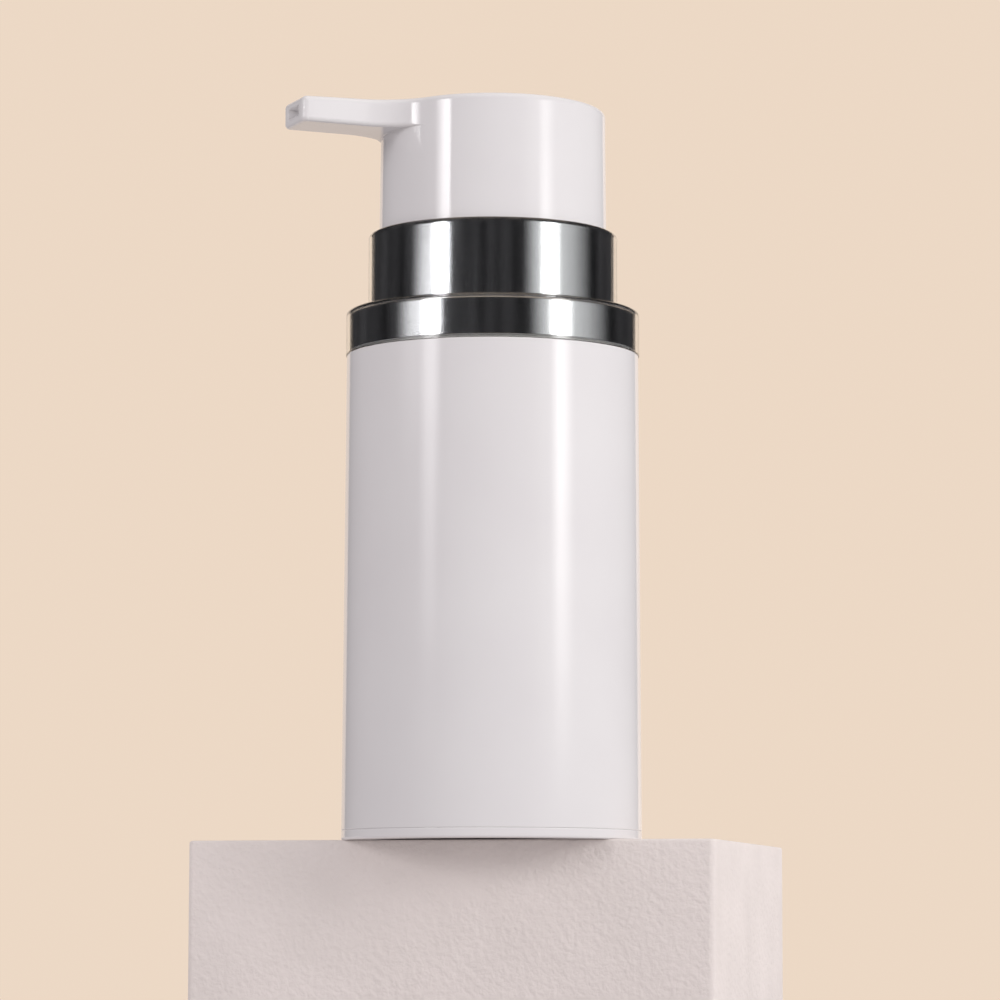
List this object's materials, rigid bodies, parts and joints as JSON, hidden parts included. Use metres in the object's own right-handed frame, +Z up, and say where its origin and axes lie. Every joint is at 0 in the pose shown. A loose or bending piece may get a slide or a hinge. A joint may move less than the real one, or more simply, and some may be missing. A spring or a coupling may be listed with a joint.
{
  "type": "airless pump bottle",
  "caption": "White airless pump bottle: straight glossy cylinder, stepped chrome collar under a clear cover, and a press-down swivel head with a flat side spout.",
  "frame": {"origin": "centre of the foot ring on the plane that the bottle stands on", "axes": "+Z up along the bottle's axis, -X along the spout at rest"},
  "size_m": [0.0635, 0.052, 0.1277],
  "materials": {
    "white_gloss": "gloss",
    "clear_wall": "polished",
    "chrome_plate": "polished",
    "natural_pp": "satin",
    "soft_pe": "matte",
    "steel": "satin"
  },
  "bodies": {
    "bottle": {"base_cap": "white_gloss", "outer_shell": "white_gloss", "inner_bottle": "white_gloss", "neck_gasket": "soft_pe", "closure_cap": "natural_pp", "chrome_collar": "chrome_plate", "clear_collar": "clear_wall", "pump_housing": "natural_pp", "ball_cage": "natural_pp", "stem_guide": "natural_pp", "stem_seal": "soft_pe", "return_spring": "steel"},
    "follower": {"follower_piston": "soft_pe"},
    "inlet_valve": {"inlet_ball": "steel"},
    "pump_stem": {"stem": "natural_pp", "valve_rod": "natural_pp"},
    "piston": {"pump_piston": "soft_pe"},
    "head": {"actuator": "white_gloss"}
  },
  "joints": [
    {"name": "follower_rise", "type": "slide", "parent": "bottle", "child": "follower", "axis": [0, 0, 1], "range_m": [0, 0.0645]},
    {"name": "inlet_lift", "type": "slide", "parent": "bottle", "child": "inlet_valve", "axis": [0, 0, 1], "range_m": [0, 0.0015]},
    {"name": "head_press", "type": "slide", "parent": "bottle", "child": "pump_stem", "axis": [0, 0, -1], "range_m": [0, 0.012], "stiffness_N_per_m": 700, "springref_m": -0.012, "deforming": ["return_spring"]},
    {"name": "piston_lag", "type": "slide", "parent": "pump_stem", "child": "piston", "axis": [0, 0, 1], "range_m": [0, 0.0008]},
    {"name": "head_swivel", "type": "hinge", "parent": "pump_stem", "child": "head", "pos_m": [0, 0, 0.121], "axis": [0, 0, 1], "continuous": true}
  ]
}
